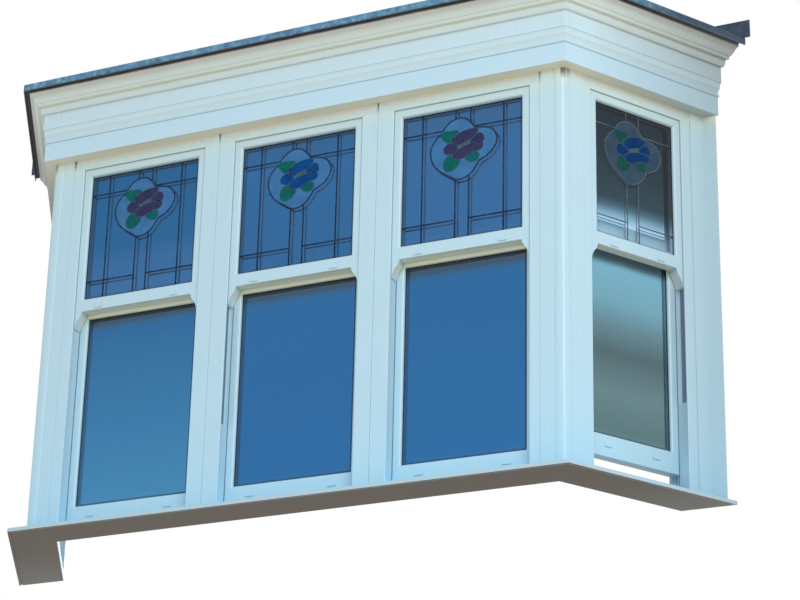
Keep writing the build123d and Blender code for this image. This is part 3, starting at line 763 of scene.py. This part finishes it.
def leaded_light(name, place, half, petal_film):
    """The leaded strips on both faces of an upper pane, and the flower on its outer face."""
    at_front = half == front_half
    shift = 0.0 if at_front else side_shift
    at = place @ Matrix.Translation((0, 0, upper_high))
    strips = straight_strips(half, shift) + [moved(lobe, shift) for lobe in medallion_lobes]
    outer_lead = strip_lead if at_front else pale_strip_lead
    # Strips are laid by hand, so those on the inner face sit a little lower and to the right
    for face, depth, aside, lead_of_face in (("outer", upper_face, 0.0, outer_lead),
                                             ("inner", upper_face + unit, 4.0, room_strip_lead)):
        curve = drawing(round_size=strip_width if at_front else side_strip_width)
        for line in strips:
            smooth_line(curve, line)
        bm = bmesh.new()
        laid_on(bm, curve, at @ Matrix.Translation((aside, 0, -aside)), depth, strip_flatness)
        finish(f"lead_strips_{face}_{name}", bm, lead_of_face)

    ground, leaf_film = (pale_film, green) if at_front else (grey_film, shaded_green)
    sheets = [("petals", petals, petal_film, film_thick), ("leaves", leaves, leaf_film, film_thick),
              ("flower_eye", [flower_eye], olive, eye_thick),
              ("flower_ground", [flower_ground], ground, ground_thick)]
    for word, shapes, film, thickness in sheets:
        bm = bmesh.new()
        for shape in shapes:
            curve = drawing(thickness=thickness)
            smooth_line(curve, moved(shape, shift), closed=True)
            laid_on(bm, curve, at, upper_face - thickness / 2, 1.0)
        finish(f"{word}_{name}", bm, film)

    curve = drawing(round_size=fine_width)
    for shape in petals + leaves + [flower_eye]:
        smooth_line(curve, moved(shape, shift), closed=True)
    bm = bmesh.new()
    laid_on(bm, curve, at, upper_face - fine_proud, fine_flatness)
    finish(f"fine_lead_{name}", bm, petal_lead)


# Gaskets and spacer bars: how far they reach past the visible glass, and their widths. A gasket
# also stands proud of the glass, presses into it and has round edges.
gasket_past, outer_gasket, inner_gasket = 6.0, 9.0, 7.2
outer_proud, inner_proud, gasket_grip = 1.2, 2.0, 0.4
outer_round, inner_round = 0.4, 0.6
spacer_past, spacer_width = 9.0, 20.0
spacer_depth = (5.0, 18.0)             # in from the unit's outer face


def glazing(name, place, half, raised):
    """Gaskets on both faces of the two units, and the spacer bar inside each."""
    seals, bars = bmesh.new(), bmesh.new()
    for low, high, face in ((upper_low, upper_high, upper_face),
                            (lower_low + raised, lower_high + raised, lower_face)):
        back = face + unit
        gasket = (half + gasket_past, low - gasket_past, high + gasket_past)
        ring(seals, place, *gasket, outer_gasket, (face - outer_proud, face + gasket_grip),
             outer_round)
        ring(seals, place, *gasket, inner_gasket, (back - gasket_grip, back + inner_proud),
             inner_round)
        ring(bars, place, half + spacer_past, low - spacer_past, high + spacer_past, spacer_width,
             (face + spacer_depth[0], face + spacer_depth[1]), 0)
    finish(f"glazing_gaskets_{name}", seals, rubber)
    finish(f"spacer_bars_{name}", bars, spacer_metal)


# Pile strips: how far in from the frame's face they start, and how wide they are. They end a hair
# before the face of the sash.
upper_pile_start, upper_pile_width = 5.8, 2.2
lower_pile_start, lower_pile_width = 56.8, 3.0
head_pile_height = 1.4
pile_gap = 0.2
track_pile_depth = (17.7, 43.1)        # in from the frame's face
track_pile_reach = (-0.8, 5.0)         # from the wall of the track
track_pile_end = 3.0                   # short of the cover and of the horn


def both_ways(side, start, end):
    """A pair of limits along the window, on its left or its right side, lowest first."""
    return tuple(sorted((side * start, side * end)))


def sliding_seals(name, place, half, raised):
    """Pile strips that close the joints round both sashes, a hair wider than they look."""
    opening = half + opening_past_glass
    upper, lower = bmesh.new(), bmesh.new()
    upper_depth = (upper_pile_start, upper_sash_face - pile_gap)
    lower_depth = (lower_pile_start, lower_sash_face - pile_gap)
    for side in (-1, 1):
        bar(upper, place, both_ways(side, opening, opening - upper_pile_width), upper_depth,
            (horn_tip + 2, frame_head))
        bar(lower, place, both_ways(side, opening, opening - lower_pile_width), lower_depth,
            (sash_foot + raised, sash_head + raised))
    bar(upper, place, (upper_pile_width - opening, opening - upper_pile_width), upper_depth,
        (frame_head - head_pile_height, frame_head))
    finish(f"upper_sash_seals_{name}", upper, pile)
    # The darker pile round the lower sashes is painted shade of the gap beside them
    finish(f"lower_sash_seals_{name}", lower, dark_pile)


def weld_lines(name, place, half, raised):
    """Scraped welds across the mitres of the frame's head, the upper sash's top and the lower
    sash's foot: 1 mm wide, and just proud of the face."""
    opening = half + opening_past_glass
    sash_edge = opening - side_gap
    bm = bmesh.new()
    for side in (-1, 1):
        for start, end, level, way, face in (
                (opening, opening + jamb_face, frame_head, 1, 0.0),
                (half + upper_slope, sash_edge, upper_high + upper_slope, 1, upper_sash_face),
                (half + lower_slope, sash_edge, lower_low + raised - lower_slope, -1,
                 lower_sash_face)):
            across = (start + end) / 2 * side
            height = level + (end - start) / 2 * way
            half_length = (end - start) * 2 ** 0.5 / 2
            bar(bm, place, (across - half_length, across + half_length), (face - 0.2, face + 0.1),
                (height - 0.5, height + 0.5), tilt=radians(-45) * way * side)
    finish(f"weld_lines_{name}", bm, weld)


def open_track(name, place, half, cover_top):
    """Dark pile strips in the outer track, which shows between a short cover and the horn: painted
    shade of the track.
    """
    start, end = (half + track_past_glass + reach for reach in track_pile_reach)
    bm = bmesh.new()
    for side in (-1, 1):
        bar(bm, place, both_ways(side, start, end), track_pile_depth,
            (cover_top + track_pile_end, horn_tip - track_pile_end))
    finish(f"track_seals_{name}", bm, track_pile)


for name, place, half, raised, petal_film in windows:
    leaded_light(name, place, half, petal_film)
    glazing(name, place, half, raised)
    sliding_seals(name, place, half, raised)
    weld_lines(name, place, half, raised)
    if name in short_covers:
        open_track(name, place, half, short_covers[name])


street_level = -4.4          # the camera stands below the bay, so the floor is far down
daylight = 0.66              # strength of the white world on the object


def studio():
    """White surroundings, a pale floor far below, and soft light from the front and the right."""
    scene = bpy.context.scene
    scene.view_settings.view_transform = "Standard"
    world = bpy.data.worlds.new("studio")
    scene.world = world
    world.use_nodes = True
    tree = world.node_tree
    tree.nodes.clear()
    # The camera, gloss and glass see plain white, and less of it lights the bay
    path = add(tree, "ShaderNodeLightPath")
    seen = add(tree, "ShaderNodeMath", {"operation": "MAXIMUM"},
               {0: path.outputs["Is Camera Ray"], 1: path.outputs["Is Glossy Ray"]})
    seen = add(tree, "ShaderNodeMath", {"operation": "MAXIMUM"},
               {0: seen.outputs[0], 1: path.outputs["Is Transmission Ray"]})
    dim = add(tree, "ShaderNodeBackground", {"Color": white, "Strength": daylight})
    bright = add(tree, "ShaderNodeBackground", {"Color": white, "Strength": 1.0})
    mixed = add(tree, "ShaderNodeMixShader", {},
                {0: seen.outputs[0], 1: dim.outputs[0], 2: bright.outputs[0]})
    add(tree, "ShaderNodeOutputWorld", {}, {"Surface": mixed.outputs[0]})

    bpy.ops.mesh.primitive_plane_add(size=60, location=(0, 0, street_level))
    floor = bpy.context.object
    floor.name = "floor"
    made, tree, output = new_material("pale_floor")
    skin = add(tree, "ShaderNodeBsdfDiffuse", {"Color": colour("#e6e6e6")})
    tree.links.new(skin.outputs[0], output.inputs["Surface"])
    floor.data.materials.append(made)

    def lamp(name, place, size, power):
        """A soft square light that points at the middle of the bay."""
        light = bpy.data.lights.new(name, "AREA")
        light.size = size
        light.energy = power
        made = bpy.data.objects.new(name, light)
        scene.collection.objects.link(made)
        target = Vector((0, 0, 1.0))
        made.location = place
        made.visible_camera = False
        made.visible_transmission = False
        made.rotation_mode = "QUATERNION"
        made.rotation_quaternion = (target - Vector(place)).to_track_quat("-Z", "Y")

    lamp("key", (6.9, -7.4, 5), 5, 410)
    lamp("front_fill", (3.5, -7.5, -3.6), 6, 90)
    lamp("back_fill", (-4, 8, 5), 6, 160)


camera()
studio()
